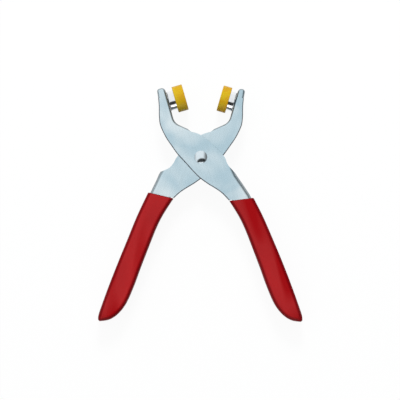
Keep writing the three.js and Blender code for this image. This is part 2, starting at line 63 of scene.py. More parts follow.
# Driving sizes, as in the CAD source apart from JAW_BEND, GRIP_LIP and RIVET_HEAD_TILT
JAW_LENGTH = 47.6
HANDLE_LENGTH = 115
HANDLE_SPREAD = 33.3
BODY_LENGTH = 29.2
BODY_REACH = 10.4
OPEN_ANGLE = math.radians(32.5)
SHEET = 1.2
RUN_GAP = 0.3
SEAT_GAP = 0.15
OVERRUN = 2
INNER_GAP = 8.5
RING_BACK = 5.5
SOCKET_BACK = 6.65
JAW_REACH = 18.6
JAW_TIP_REACH = 14.6
LIP_REACH = 15.2
TIP_OUTER_RADIUS = 1.7
TIP_INNER_RADIUS = 2.3
LIP_LENGTH = 5.2
THROAT_RADIUS = 7
THROAT_ANGLE = math.radians(40.3)
JAW_BEND = 1.6
HANDLE_BEND = 3
SMALLEST_BEND = 0.1
STEEL_END_SETBACK = 11.5
GRIP_WALL = 0.9
GRIP_OPEN_WALL = 1.6
GRIP_FACE_WALL = 1.05
GRIP_EDGE_RADIUS = 2.9
GRIP_LIP = 0.6
GRIP_TIP_DEPTH = 4.8
RIVET_RADIUS = 2.5
RIVET_HEAD_RADIUS = 3.95
RIVET_HEAD_HEIGHT = 2.2
RIVET_HEAD_TILT = math.radians(31)
CLINCH_RADIUS = 3.9
SPACER_WALL = 0.8
SPRING_WIRE = 1.4
SPRING_TURNS = 3
SPRING_STEPS_IN_CAD = 8  # corners to a turn, through which the round coil runs
SPRING_PITCH = 1.95
SPRING_FOOT = 6
SPRING_CONTACT = 20.5
DIE_RADIUS = 6.1
DIE_HEIGHT_SHARE = 0.811  # of JAW_LENGTH
CUP_WALL = 0.8
CUP_EDGE = 0.6
RING_NECK = 4.2
SOCKET_NECK = 3.85
CUP_IN_COLLAR = 1.5
SHANK_RADIUS = 2
PEEN_RADIUS = 2.7
PEEN_HEIGHT = 0.6
WASHER_RADIUS = 3.9
WASHER_THICKNESS = 0.8
CORE_RADIUS = 4.4
COLLAR_RADIUS = 8.15
COLLAR_EDGE = 0.4
RING_COLLAR = 6.5
SOCKET_COLLAR = 5.55
RECESS_RADIUS = 5.3
RECESS_DEPTH = 1
CORE_SETBACK = 0.5
GROOVE_INNER = 2.4
GROOVE_OUTER = 3.7
GROOVE_DEPTH = 0.7
PIN_RADIUS = 1.1
PIN_HEIGHT = 0.9
POCKET_RADIUS = 3.3
POCKET_DEPTH = 0.6

# Places worked out from them
HALF_OPEN = OPEN_ANGLE / 2
INNER_CHEEK_IN = INNER_GAP / 2
INNER_CHEEK_OUT = INNER_CHEEK_IN + SHEET
OUTER_CHEEK_IN = INNER_CHEEK_OUT + RUN_GAP
OUTER_CHEEK_OUT = OUTER_CHEEK_IN + SHEET
GRIP_HALF_DEPTH = OUTER_CHEEK_OUT + RUN_GAP + GRIP_FACE_WALL
STEEL_END = HANDLE_LENGTH - STEEL_END_SETBACK
RIVET_HOLE = RIVET_RADIUS + RUN_GAP
SPACER_RADIUS = RIVET_HOLE + SPACER_WALL
WIRE_RADIUS = SPRING_WIRE / 2
SPRING_BEND = 3 * WIRE_RADIUS
REACH = HANDLE_LENGTH + HANDLE_SPREAD
DIE_HEIGHT = DIE_HEIGHT_SHARE * JAW_LENGTH
COIL_RADIUS = (SPACER_RADIUS + RUN_GAP + WIRE_RADIUS) / math.cos(math.pi / SPRING_STEPS_IN_CAD)

# Outlines, as shares of the sizes named beside them
JAW_OPEN_SHARES = [  # of JAW_REACH, JAW_LENGTH
    (-0.823, 0.88), (-0.876, 0.777), (-0.957, 0.664), (-1.005, 0.541), (-0.943, 0.378), (-0.823, 0.231),
]
BODY_OPEN_SHARES = [  # of BODY_REACH, BODY_LENGTH, as those below
    (-1.285, 0.192), (-1, -0.01), (-0.745, -0.199), (-0.42, -0.41), (-0.035, -0.588), (0.31, -0.722),
    (0.62, -0.86),
]
BODY_WEB_SHARES = [(-0.14, 0.572), (0.365, 0.445), (0.9, 0.17), (1.335, -0.12)]
BLANK_CORNER_SHARES = [(-0.317, 0.657), (-0.06, 0.578), (1.68, 0.26)]
BLANK_RADIUS_SHARES = [1, 0.35, 0.8, 0.3]  # of BODY_REACH
WINDOW_SHARES = [(-0.45, 0.5), (0.25, 0.28), (0.95, -0.12), (1.4, -0.4)]
TRIM_START_SHARE = 0.25
OUTER_RAIL_SHARES = [  # of HANDLE_SPREAD, HANDLE_LENGTH
    (0.92, 0.67), (0.962, 0.809), (0.988, 0.93), (0.992, 0.97), (0.976, 0.994),
]
INNER_RAIL_SHARES = [  # of HANDLE_SPREAD, HANDLE_LENGTH
    (0.249, 0.245), (0.283, 0.268), (0.376, 0.363), (0.423, 0.443), (0.459, 0.557), (0.49, 0.667),
    (0.512, 0.765), (0.56, 0.87), (0.652, 0.936), (0.78, 0.978), (0.94, 1),
]
BEND_SWITCH_SHARES = (0.4, 0.1)  # of BODY_LENGTH
GRIP_TAPER_SHARE = 0.84

# Fineness of the looks: lengths in millimetres, angles, counts and shares
MERGE = 0.0005
LEAST_WIDTH = 4 * MERGE
FLAT_ANGLE = math.radians(0.2)
SHARP_ANGLE = math.radians(42)
SMOOTH_ANGLE = math.radians(34)
CUT_NORMAL = 0.5
OPEN_SIDE_NORMAL = -0.2
ARC_STEP = math.radians(4)
BEND_ANGLES = [7.5 * k for k in range(13)]
CURVE_SPANS = 10
TURNED_SEGMENTS = 112
SHORT_EDGE = 0.02
SHEET_ROUND = 0.55
RIVET_ROUND = 0.3
TUBE_ROUND = 0.15
CORE_ROUND = 0.15
WASHER_ROUND = 0.12
ROUND_STEPS = 3
ROOM_FOR_ROUND = 0.45
MITRE_LIMIT = math.sqrt(0.5)
DOME_STEPS = 12
GRIP_STATIONS = 120
GRIP_CORNER_STEPS = 12
LIP_STEPS = 6
COIL_STEPS = 72
WIRE_SIDES = 18

# What differs between the two levers
SHAPES = {
    "outer": {
        "face": RING_BACK + RING_NECK, "mouth": 30.9, "drop": 2.3,
        "cheek_in": OUTER_CHEEK_IN, "cheek_out": OUTER_CHEEK_OUT, "side": 1, "body": "outer_half",
        "web": [(1.39, -0.257), (1.442, -0.339), (1.54, -0.411), (1.663, -0.5), (1.75, -0.572)],
        "corners": [(1.69, -0.42)],
        "shoulder": [(1.738, -0.569), (1.913, -0.753)],
        "rail": [(0.706, 0.25), (0.724, 0.278), (0.805, 0.4), (0.868, 0.539)],
    },
    "inner": {
        "face": SOCKET_BACK + SOCKET_NECK, "mouth": 29.3, "drop": 0.8,
        "cheek_in": INNER_CHEEK_IN, "cheek_out": INNER_CHEEK_OUT, "side": -1, "body": "inner_half",
        "web": [(1.455, -0.284), (1.6, -0.4), (1.88, -0.494), (2.07, -0.546)],
        "corners": [(2.03, -0.45)],
        "shoulder": [(2.055, -0.543), (2.1, -0.6), (2.15, -0.743)],
        "rail": [(0.744, 0.25), (0.759, 0.278), (0.825, 0.4), (0.874, 0.539)],
    },
}


def placed(shares, width, height):
    return [Vector((across * width, along * height)) for across, along in shares]


def spline(points):
    """Points on the uniform Catmull-Rom curve through some points, the curve that the CAD source uses."""
    line = []
    last = len(points) - 1
    for i in range(last):
        a, b = points[i], points[i + 1]
        start = (b - points[max(i - 1, 0)]) / 2
        end = (points[min(i + 2, last)] - a) / 2
        for k in range(CURVE_SPANS):
            t = k / CURVE_SPANS
            cubic = 2 * (a - b) + start + end
            square = 3 * (b - a) - 2 * start - end
            line.append(a + start * t + square * t**2 + cubic * t**3)
    return line + [points[last]]


def turn_between(arriving, leaving):
    cross = arriving.x * leaving.y - arriving.y * leaving.x
    return math.atan2(cross, arriving.dot(leaving))


def filleted(corners, step=ARC_STEP):
    """The path through some corners, each given with the radius that rounds it."""
    path = [corners[0][0]]
    for (before, _), (at, radius), (after, _) in zip(corners, corners[1:], corners[2:]):
        arriving = (at - before).normalized()
        turn = turn_between(arriving, (after - at).normalized())
        start = at - arriving * radius * math.tan(abs(turn) / 2)
        side = math.copysign(1, turn)
        centre = start + Vector((-arriving.y, arriving.x)) * side * radius
        steps = max(1, round(abs(turn) / step))
        for k in range(steps + 1):
            path.append(centre + Matrix.Rotation(turn * k / steps, 2) @ (start - centre))
    return path + [corners[-1][0]]


def shifted(path, distances):
    """A path moved to the right of its own direction, by one distance or by one for each point."""
    if isinstance(distances, (int, float)):
        distances = [distances] * len(path)
    moved = []
    last = len(path) - 1
    for i, point in enumerate(path):
        arriving = (point - path[max(i - 1, 0)]).normalized()
        leaving = (path[min(i + 1, last)] - point).normalized()
        along = (arriving + leaving).normalized()
        stretch = max(along.dot(arriving), MITRE_LIMIT) if 0 < i < last else 1
        moved.append(point + Vector((along.y, -along.x)) * distances[i] / stretch)
    return moved


def between(path, top, bottom):
    """The stretch of a path that runs down between two heights."""
    def crossing(height):
        i = next(k for k, point in enumerate(path) if point.y <= height + MERGE)
        above, below = path[i - 1], path[i]
        return above.lerp(below, (above.y - height) / (above.y - below.y))
    return [crossing(top), *(p for p in path if bottom < p.y < top), crossing(bottom)]


INNER_RAIL = spline(placed(INNER_RAIL_SHARES, HANDLE_SPREAD, -HANDLE_LENGTH))
INNER_STEEL_RAIL = shifted(INNER_RAIL, -GRIP_OPEN_WALL - RUN_GAP)


def outer_rail(shape):
    return spline(placed(shape["rail"] + OUTER_RAIL_SHARES, HANDLE_SPREAD, -HANDLE_LENGTH))


def blank_corners(shape):
    return placed(BLANK_CORNER_SHARES + shape["corners"], BODY_REACH, BODY_LENGTH)


def body_web_edge(shape):
    return placed(BODY_WEB_SHARES + shape["web"], BODY_REACH, BODY_LENGTH)


def web_path(shape, end):
    """The web side of a lever: lip, tip, face for the die, throat, and the handle's outer edge."""
    face = shape["face"]
    corners = blank_corners(shape)
    shoulder = placed(shape["shoulder"], BODY_REACH, BODY_LENGTH)
    throat_height = corners[0].y + (face + corners[0].x) * math.tan(THROAT_ANGLE)
    head = filleted([
        (Vector((-LIP_REACH, JAW_LENGTH - LIP_LENGTH)), 0),
        (Vector((-JAW_TIP_REACH, JAW_LENGTH)), TIP_OUTER_RADIUS),
        (Vector((-face, JAW_LENGTH)), TIP_INNER_RADIUS),
        (Vector((-face, throat_height)), THROAT_RADIUS),
        *((at, BODY_REACH * share) for at, share in zip(corners, BLANK_RADIUS_SHARES)),
        (shoulder[0], 0),
    ])
    steel_rail = shifted(outer_rail(shape), GRIP_WALL + RUN_GAP)
    return head + shoulder[1:] + between(steel_rail, -BODY_LENGTH - SHEET, -end)


def open_path(shape, end):
    """The open side, from the handle's end back to the lip."""
    mouth = shape["mouth"]
    jaw = placed(JAW_OPEN_SHARES, JAW_REACH, JAW_LENGTH)
    body = placed(BODY_OPEN_SHARES, BODY_REACH, BODY_LENGTH)
    meets = between(INNER_RAIL, RUN_GAP - mouth, -end)[0]
    handle = between(INNER_STEEL_RAIL, RUN_GAP - mouth, -end)
    return (spline([*jaw, *body, meets]) + handle)[::-1]


def new_object(name, bm):
    mesh = bpy.data.meshes.new(name)
    bm.to_mesh(mesh)
    bm.free()
    obj = bpy.data.objects.new(name, mesh)
    bpy.context.scene.collection.objects.link(obj)
    return obj


def loft(name, rings):
    """A closed mesh through rings of equally many points, capped at both ends."""
    bm = bmesh.new()
    rows = [[bm.verts.new(point) for point in ring] for ring in rings]
    for lower, upper in zip(rows, rows[1:]):
        for i in range(len(lower)):
            bm.faces.new((lower[i - 1], lower[i], upper[i], upper[i - 1]))
    bm.faces.new(rows[0])
    bm.faces.new(rows[-1])
    bmesh.ops.remove_doubles(bm, verts=bm.verts, dist=MERGE)
    bmesh.ops.dissolve_degenerate(bm, edges=bm.edges, dist=MERGE)
    bmesh.ops.recalc_face_normals(bm, faces=bm.faces)
    return new_object(name, bm)


def prism(name, outline, half):
    return loft(name, [[Vector((p.x, p.y, z)) for p in outline] for z in (-half, half)])


def turned(name, profile):
    """A body turned about Z from a profile of (radius, height), on the axis at both ends or closed."""
    bm = bmesh.new()
    loops = []
    for radius, height in profile:
        if radius < MERGE:
            loops.append([bm.verts.new((0, 0, height))] * TURNED_SEGMENTS)
        else:
            angles = (2 * math.pi * k / TURNED_SEGMENTS for k in range(TURNED_SEGMENTS))
            ring = [(radius * math.cos(a), radius * math.sin(a), height) for a in angles]
            loops.append([bm.verts.new(corner) for corner in ring])
    pairs = list(zip(loops, loops[1:]))
    if profile[0][0] > MERGE:
        pairs.append((loops[-1], loops[0]))
    for low, high in pairs:
        for k in range(TURNED_SEGMENTS):
            corners = list(dict.fromkeys((low[k - 1], low[k], high[k], high[k - 1])))
            if len(corners) > 2:
                bm.faces.new(corners)
    bmesh.ops.recalc_face_normals(bm, faces=bm.faces)
    return new_object(name, bm)


def cylinder(radius, bottom, top):
    return [(0, bottom), (radius, bottom), (radius, top), (0, top)]


def softened(profile, radius):
    """A turning profile with every corner off the axis rounded, as far as its neighbours leave room."""
    points = [Vector(p) for p in profile]
    closed = points[0].x > MERGE
    ring = points if closed else points[1:-1]
    path = [] if closed else [points[0]]
    for i, at in enumerate(ring):
        before = ring[i - 1] if closed or i else points[0]
        after = ring[(i + 1) % len(ring)] if closed or i + 1 < len(ring) else points[-1]
        arriving = (at - before).normalized()
        turn = abs(turn_between(arriving, (after - at).normalized()))
        room = ROOM_FOR_ROUND * min((at - before).length, (after - at).length)
        if turn < ARC_STEP or room < MERGE:
            path.append(at)
            continue
        fitting = min(radius, room / math.tan(turn / 2))
        path += filleted([(before, 0), (at, fitting), (after, 0)], turn / (ROUND_STEPS + 1))[1:-1]
    return [tuple(p) for p in (path if closed else path + [points[-1]])]


def cut_out(target, *tools):
    """Cuts some closed meshes, which are used up, out of another."""
    for tool in tools:
        modifier = target.modifiers.new("cut", "BOOLEAN")
        modifier.operation = "DIFFERENCE"
        modifier.object = tool
        modifier.solver = "MANIFOLD"
    graph = bpy.context.evaluated_depsgraph_get()
    mesh = bpy.data.meshes.new_from_object(target.evaluated_get(graph))
    target.modifiers.clear()
    mesh.materials.clear()
    target.data = mesh
    for tool in tools:
        bpy.data.objects.remove(tool)
    return target


def channel(name, shape, end, inset, half, open_shift):
    """A channel round the whole lever, rolled from web to cheeks, as the CAD source has it."""
    web = web_path(shape, end)
    opening = shifted(open_path(shape, end), -open_shift)
    upper, lower = (share * BODY_LENGTH for share in BEND_SWITCH_SHARES)
    bends = []
    for point in web:
        blend = min(max((upper - point.y) / (upper - lower), 0), 1)
        bends.append(max(JAW_BEND + (HANDLE_BEND - JAW_BEND) * blend - inset, SMALLEST_BEND))

    def ring(side, angle):
        roll = math.radians(angle)
        line = shifted(web, [inset + bend * (1 - math.cos(roll)) for bend in bends])
        rolled = []
        for p, bend in zip(line, bends):
            rolled.append(Vector((p.x, p.y, side * (half - bend * (1 - math.sin(roll))))))
        return rolled + [Vector((p.x, p.y, side * half)) for p in opening]

    return loft(name, [ring(-1, a) for a in reversed(BEND_ANGLES)] + [ring(1, a) for a in BEND_ANGLES])


def trim(shape):
    """What is cut off the blank between the end of the jaw's web and the handle's shoulder."""
    web_end = blank_corners(shape)[0]
    edge = body_web_edge(shape)
    back = edge[-1]
    return prism("trim", [
        Vector((web_end.x + OVERRUN, web_end.y + OVERRUN)),
        web_end.lerp(edge[0], TRIM_START_SHARE),
        *spline(edge),
        Vector((back.x + OVERRUN, back.y - OVERRUN / 2)),
        Vector((REACH, back.y - OVERRUN / 2)),
        Vector((REACH, JAW_LENGTH)),
        Vector((web_end.x + 2 * OVERRUN, JAW_LENGTH)),
    ], OUTER_CHEEK_OUT + OVERRUN)


def window_cut(shape):
    """The window that takes the last of the web out from between the cheeks."""
    web_end = blank_corners(shape)[0]
    edge = body_web_edge(shape)
    back = edge[-1]
    return prism("window", [
        Vector((web_end.x + OVERRUN, web_end.y + OVERRUN)),
        *placed(WINDOW_SHARES, BODY_REACH, BODY_LENGTH),
        *edge[-2:],
        Vector((back.x + OVERRUN, back.y)),
        Vector((back.x + OVERRUN, BODY_LENGTH)),
    ], shape["cheek_in"])


def is_outside(face):
    """Whether a face of the sheet, not a cut one, looks out of the channel."""
    if face.material_index:
        return False
    if abs(face.normal.z) > MERGE:
        return face.normal.z * face.calc_center_median().z > 0
    return face.normal.x + face.normal.y > 0


def is_open_side(face):
    return face.material_index and face.normal.x < OPEN_SIDE_NORMAL


def round_sheet_edges(obj):
    """Rounds over the open side's outer edges, and gives them and all cuts the second material, whose
    dark tint paints shade along them.
    """
    bm = bmesh.new()
    bm.from_mesh(obj.data)
    bmesh.ops.remove_doubles(bm, verts=bm.verts, dist=SHORT_EDGE)
    bmesh.ops.dissolve_limit(bm, angle_limit=FLAT_ANGLE, verts=bm.verts, edges=bm.edges)
    bmesh.ops.dissolve_degenerate(bm, edges=bm.edges, dist=MERGE)
    bm.normal_update()
    sharp = {e for e in bm.edges if e.is_manifold and e.calc_face_angle() > SHARP_ANGLE}
    for face in bm.faces:
        stands = abs(face.normal.z) < CUT_NORMAL
        face.material_index = int(stands and sum(e in sharp for e in face.edges) > 1)
    outer = [e for e in sharp if any(is_outside(face) for face in e.link_faces)]
    rolled_over = [e for e in outer if any(is_open_side(face) for face in e.link_faces)]
    # the rounded-over edges take the dark edge material: painted shade along the outlines
    bmesh.ops.bevel(
        bm, geom=rolled_over, affect="EDGES", offset=SHEET_ROUND, segments=ROUND_STEPS, profile=0.5,
        clamp_overlap=False, material=1,
    )
    bm.to_mesh(obj.data)
    bm.free()


def lever(name, shape):
    """A pressed lever: a channel round its outline. The inner lever's runs inside the outer's."""
    blank = channel(name, shape, STEEL_END, inset=0, half=shape["cheek_out"], open_shift=0)
    cavity = channel(
        "cavity", shape, STEEL_END + OVERRUN, inset=SHEET, half=shape["cheek_in"], open_shift=OVERRUN,
    )
    rivet_bore = turned("bore", cylinder(RIVET_HOLE, -REACH, REACH))
    shank_bore = turned("bore", cylinder(SHANK_RADIUS + RUN_GAP, -OVERRUN, SHEET + OVERRUN))
    shank_bore.data.transform(
        Matrix.Translation((-shape["face"], DIE_HEIGHT, 0)) @ Matrix.Rotation(-math.pi / 2, 4, "Y")
    )
    cut_out(blank, cavity, window_cut(shape), trim(shape), rivet_bore, shank_bore)
    round_sheet_edges(blank)
    return blank


def spaced(path, count):
    """Evenly spaced points on a path."""
    lengths = [0]
    for a, b in zip(path, path[1:]):
        lengths.append(lengths[-1] + (b - a).length)
    points = []
    k = 0
    for i in range(count + 1):
        at = lengths[-1] * i / count
        while k + 2 < len(path) and lengths[k + 1] < at:
            k += 1
        points.append(path[k].lerp(path[k + 1], (at - lengths[k]) / (lengths[k + 1] - lengths[k])))
    return points


def grip_section(outer_edge, inner_edge, half, inset):
    """A rounded box section between a point on the grip's outer edge and one on its inner edge."""
    across = outer_edge - inner_edge
    width = max(across.length - 2 * inset, LEAST_WIDTH)
    middle = inner_edge + across / 2
    across.normalize()
    depth = half - inset
    radius = min(GRIP_EDGE_RADIUS, width / 2, depth)
    ring = []
    for quarter in range(4):
        toward = 1 if quarter in (0, 3) else -1
        up = 1 if quarter < 2 else -1
        for k in range(GRIP_CORNER_STEPS + 1):
            angle = math.pi / 2 * (quarter + k / GRIP_CORNER_STEPS)
            point = middle + across * (toward * (width / 2 - radius) + radius * math.cos(angle))
            ring.append(Vector((point.x, point.y, up * (depth - radius) + radius * math.sin(angle))))
    return ring


def grip(name, shape):
    """A dipped vinyl sleeve: its outside runs along both rails, and the handle is hollowed out of it."""
    mouth, drop = shape["mouth"], shape["drop"]
    outer_tip = -HANDLE_LENGTH * OUTER_RAIL_SHARES[-1][1]
    outer = spaced(between(outer_rail(shape), -mouth - drop, outer_tip), GRIP_STATIONS)
    inner = spaced(between(INNER_RAIL, -mouth, -HANDLE_LENGTH), GRIP_STATIONS)
    lip_end = GRIP_LIP / (HANDLE_LENGTH - mouth) * GRIP_STATIONS
    sections = []
    for k in range(LIP_STEPS):
        angle = math.pi / 2 * k / LIP_STEPS
        ends = [rail[0].lerp(rail[1], lip_end * (1 - math.cos(angle))) for rail in (outer, inner)]
        inset = GRIP_LIP * (1 - math.sin(angle))
        sections.append(grip_section(*ends, GRIP_HALF_DEPTH, inset))
    for i, (a, b) in enumerate(zip(outer, inner)):
        if i <= lip_end:
            continue
        past = max(0, (i / GRIP_STATIONS - GRIP_TAPER_SHARE) / (1 - GRIP_TAPER_SHARE))
        half = GRIP_TIP_DEPTH + (GRIP_HALF_DEPTH - GRIP_TIP_DEPTH) * math.sqrt(1 - past * past)
        sections.append(grip_section(a, b, half, inset=0))
    sleeve = loft(name, sections)
    hollow = channel(
        "hollow", shape, STEEL_END + RUN_GAP,
        inset=-RUN_GAP, half=shape["cheek_out"] + RUN_GAP, open_shift=RUN_GAP,
    )
    return cut_out(sleeve, hollow)


def rivet(name):
    bottom = -GRIP_HALF_DEPTH
    flange = -OUTER_CHEEK_OUT - SEAT_GAP
    seat = OUTER_CHEEK_OUT + SEAT_GAP
    dome_radius = RIVET_HEAD_RADIUS / math.sin(RIVET_HEAD_TILT)
    dome_centre = seat + RIVET_HEAD_HEIGHT - dome_radius
    dome = []
    for k in range(DOME_STEPS):
        angle = RIVET_HEAD_TILT * (1 - k / DOME_STEPS)
        dome.append((dome_radius * math.sin(angle), dome_centre + dome_radius * math.cos(angle)))
    shank = softened([
        (0, bottom), (CLINCH_RADIUS, bottom), (CLINCH_RADIUS, flange), (RIVET_RADIUS, flange),
        (RIVET_RADIUS, seat), (RIVET_HEAD_RADIUS, seat), *dome[:2],
    ], RIVET_ROUND)
    return turned(name, shank + dome[2:] + [(0, seat + RIVET_HEAD_HEIGHT)])


def spacer(name):
    half = INNER_CHEEK_IN - RUN_GAP
    return turned(name, softened([
        (RIVET_HOLE, -half), (SPACER_RADIUS, -half), (SPACER_RADIUS, half), (RIVET_HOLE, half),
    ], TUBE_ROUND))


def spring_leg(shape):
    """The foot, the bend at the web and the tangent point of one leg, and that point's angle."""
    web = shifted(web_path(shape, STEEL_END), SHEET + WIRE_RADIUS + RUN_GAP)
    laid = between([p for p in web if p.x > 0], -SPRING_CONTACT, -SPRING_CONTACT - SPRING_FOOT)
    swing = Matrix.Rotation(HALF_OPEN, 2)
    bend, foot = swing @ laid[0], swing @ laid[-1]
    enter = math.atan2(bend.y, bend.x) + math.acos(COIL_RADIUS / bend.length)
    tangent = COIL_RADIUS * Vector((math.cos(enter), math.sin(enter)))
    return filleted([(foot, 0), (bend, SPRING_BEND), (tangent, 0)])[:-1], enter


def spring_route():
    """The spring's centre line: foot, leg, coil, leg, foot, with the legs tangent to the coil."""
    first, first_enter = spring_leg(SHAPES["outer"])
    second, second_enter = spring_leg(SHAPES["inner"])
    sweep = math.pi - first_enter - second_enter + 2 * math.pi * SPRING_TURNS
    rise = SPRING_PITCH * sweep / (2 * math.pi)
    steps = round(COIL_STEPS * sweep / (2 * math.pi))
    route = [Vector((p.x, p.y, -rise / 2)) for p in first]
    for k in range(steps + 1):
        angle = first_enter + sweep * k / steps
        height = rise * (k / steps - 0.5)
        route.append(Vector((COIL_RADIUS * math.cos(angle), COIL_RADIUS * math.sin(angle), height)))
    route += [Vector((-p.x, p.y, rise / 2)) for p in reversed(second)]
    return route, rise


def spring(name):
    route, rise = spring_route()
    rings = []
    last = len(route) - 1
    for i, at in enumerate(route):
        along = route[min(i + 1, last)] - route[max(i - 1, 0)]
        side = Vector((-along.y, along.x, 0)).normalized()
        up = along.cross(side).normalized()
        angles = (2 * math.pi * k / WIRE_SIDES for k in range(WIRE_SIDES))
        rings.append([at + WIRE_RADIUS * (side * math.cos(a) + up * math.sin(a)) for a in angles])
    return loft(name, rings), rise


CUP_FLOOR = SEAT_GAP + CUP_WALL
WASHER_TOP = -SHEET - SEAT_GAP
PEEN_TOP = WASHER_TOP - WASHER_THICKNESS - SEAT_GAP
SHANK_HOLE = SHANK_RADIUS + RUN_GAP


def cup_profile(neck):
    rim = neck + CUP_IN_COLLAR
    inside = DIE_RADIUS - CUP_WALL
    return softened([
        (SHANK_HOLE, SEAT_GAP), (DIE_RADIUS, SEAT_GAP), (DIE_RADIUS, rim), (inside, rim),
        (inside, CUP_FLOOR), (SHANK_HOLE, CUP_FLOOR),
    ], CUP_EDGE)


def washer_profile():
    bottom = WASHER_TOP - WASHER_THICKNESS
    return softened([
        (SHANK_HOLE, bottom), (WASHER_RADIUS, bottom),
        (WASHER_RADIUS, WASHER_TOP), (SHANK_HOLE, WASHER_TOP),
    ], WASHER_ROUND)


def core_profile(front):
    """The shank, peened over behind the washer, and the pressing face given as further points."""
    seat = CUP_FLOOR + SEAT_GAP
    peen = PEEN_TOP - PEEN_HEIGHT
    return softened([
        (0, peen), (SHANK_RADIUS, peen), (PEEN_RADIUS, PEEN_TOP - PEEN_HEIGHT / 2),
        (PEEN_RADIUS, PEEN_TOP), (SHANK_RADIUS, PEEN_TOP), (SHANK_RADIUS, seat), (CORE_RADIUS, seat),
        *front,
    ], CORE_ROUND)


def ring_core_profile():
    face = RING_NECK + RING_COLLAR - RECESS_DEPTH - CORE_SETBACK
    floor = face - GROOVE_DEPTH
    return core_profile([
        (CORE_RADIUS, face), (GROOVE_OUTER, face), (GROOVE_OUTER, floor), (GROOVE_INNER, floor),
        (GROOVE_INNER, face), (0, face),
    ])


def socket_core_profile():
    face = SOCKET_NECK + SOCKET_COLLAR - RECESS_DEPTH - CORE_SETBACK
    floor = face - POCKET_DEPTH
    return core_profile([
        (CORE_RADIUS, face), (POCKET_RADIUS, face), (POCKET_RADIUS, floor), (PIN_RADIUS, floor),
        (PIN_RADIUS, floor + PIN_HEIGHT), (0, floor + PIN_HEIGHT),
    ])


def collar_profile(back, length):
    step = back + CUP_IN_COLLAR + SEAT_GAP
    front = back + length
    floor = front - RECESS_DEPTH
    return softened([
        (DIE_RADIUS + RUN_GAP, back), (COLLAR_RADIUS, back), (COLLAR_RADIUS, front),
        (RECESS_RADIUS, front), (RECESS_RADIUS, floor), (CORE_RADIUS + RUN_GAP, floor),
        (CORE_RADIUS + RUN_GAP, step), (DIE_RADIUS + RUN_GAP, step),
    ], COLLAR_EDGE)


def add_node(tree, kind, inputs=(), **settings):
    """A shader node whose inputs are linked to a socket or set to a value."""
    node = tree.nodes.new("ShaderNode" + kind)
    for key, value in settings.items():
        setattr(node, key, value)
    for key, value in dict(inputs).items():
        if isinstance(value, bpy.types.NodeSocket):
            tree.links.new(value, node.inputs[key])
        else:
            node.inputs[key].default_value = value
    return node


class Finish:
    """A material's node tree, with the few nodes that the finishes share."""

    def __init__(self, name, **sockets):
        self.material = bpy.data.materials.new(name)
        self.material.use_nodes = True
        self.tree = self.material.node_tree
        self.shader = self.tree.nodes["Principled BSDF"]
        for socket, value in sockets.items():
            self.shader.inputs[socket.replace("_", " ")].default_value = value

    def node(self, kind, inputs=(), **settings):
        return add_node(self.tree, kind, inputs, **settings)

    def place(self, stretch=(1, 1, 1), shift=(0, 0, 0)):
        """The piece's own coordinates in metres, stretched and shifted along its axes."""
        where = self.node("TexCoord").outputs["Object"]
        mapping = self.node("Mapping", {"Vector": where, "Scale": stretch, "Location": shift})
        return mapping.outputs["Vector"]

    def noise(self, scale, detail=2, roughness=0.5, distortion=0, stretch=(1, 1, 1), shift=(0, 0, 0)):
        """A cloudy pattern with so many features to the metre."""
        return self.node("TexNoise", {
            "Vector": self.place(stretch, shift), "Scale": scale, "Detail": detail,
            "Roughness": roughness, "Distortion": distortion,
        }).outputs["Fac"]

    def span(self, value, low, high, start=0.35, end=0.65):
        """A value between two levels of a pattern, set to run from low to high."""
        return self.node("MapRange", {
            "Value": value, "From Min": start, "From Max": end, "To Min": low, "To Max": high,
        }).outputs["Result"]

    def mix(self, share, a, b):
        return self.node("Mix", {0: share, 6: a, 7: b}, data_type="RGBA").outputs[2]

    def flatness(self):
        """1 where the surface lies flat, square to the piece's Z, and 0 where it stands upright."""
        normal = self.node("TexCoord").outputs["Normal"]
        up = self.node("SeparateXYZ", {"Vector": normal}).outputs["Z"]
        return self.node("Math", {0: up}, operation="ABSOLUTE").outputs[0]

    def bump(self, height, strength, distance, under=None):
        inputs = {"Height": height, "Strength": strength, "Distance": distance}
        if under is not None:
            inputs["Normal"] = under
        return self.node("Bump", inputs).outputs["Normal"]

    def to_shader(self, **sources):
        for socket, source in sources.items():
            self.tree.links.new(source, self.shader.inputs[socket.replace("_", " ")])
        return self.material


def color(red, green, blue):
    return (red, green, blue, 1)


# Tints of the plate and rivet, the painted shade of the plate's upright walls, and the shifts that place
# the plate's clouds and the vinyl's streaks of painted shade
SHEET_COOL = color(0.5, 0.66, 0.74)
SHEET_WARM = color(0.76, 0.86, 0.9)
# painted shade for the upright walls of the lever plate
WALL_SHADE_TINT = color(0.24, 0.28, 0.3)
RIVET_TINT = color(0.74, 0.83, 0.88)
CLOUD_SHADE_SHIFT = (0.02, 0, 0.03)
STREAK_SHIFT = (0.027, 0.054, 0.11)

# Flatness up to which a surface counts as a wall or side and takes the full painted shade, and from which
# it counts as flat
STEEL_WALL, STEEL_SHEET = 0.55, 0.94
VINYL_SIDE, VINYL_TOP = 0.85, 0.998


def plated_steel(name, cool, warm, wall_shade, rough_low, rough_high):
    """Bright zinc plate: faint cloudy tints, placed partly as painted shade, polishing marks along the
    sheet and fine pits.

    The walls, which stand upright, are painted darker than the flat sheet: painted shade that draws dark
    lines along the bends and edges.
    """
    f = Finish(name, Metallic=1.0)
    # the plate's own mottling in part and painted shade in part: the clouds are shifted so that their
    # darker parts fall below the rivet
    cloud = f.span(f.noise(42, distortion=0.4, shift=CLOUD_SHADE_SHIFT), 0, 1, start=0.36, end=0.64)
    marks = f.noise(1500, stretch=(1, 0.05, 1))
    pits = f.noise(2600)
    # the upright walls take the dark tint: painted shade
    wall = f.span(f.flatness(), 1, 0, start=STEEL_WALL, end=STEEL_SHEET)
    tint = f.mix(wall, f.mix(cloud, cool, warm), wall_shade)
    rough = f.span(marks, rough_low, rough_high)
    grain = f.bump(marks, strength=0.04, distance=0.00002)
    normal = f.bump(pits, strength=0.08, distance=0.00003, under=grain)
    return f.to_shader(Base_Color=tint, Roughness=rough, Normal=normal)


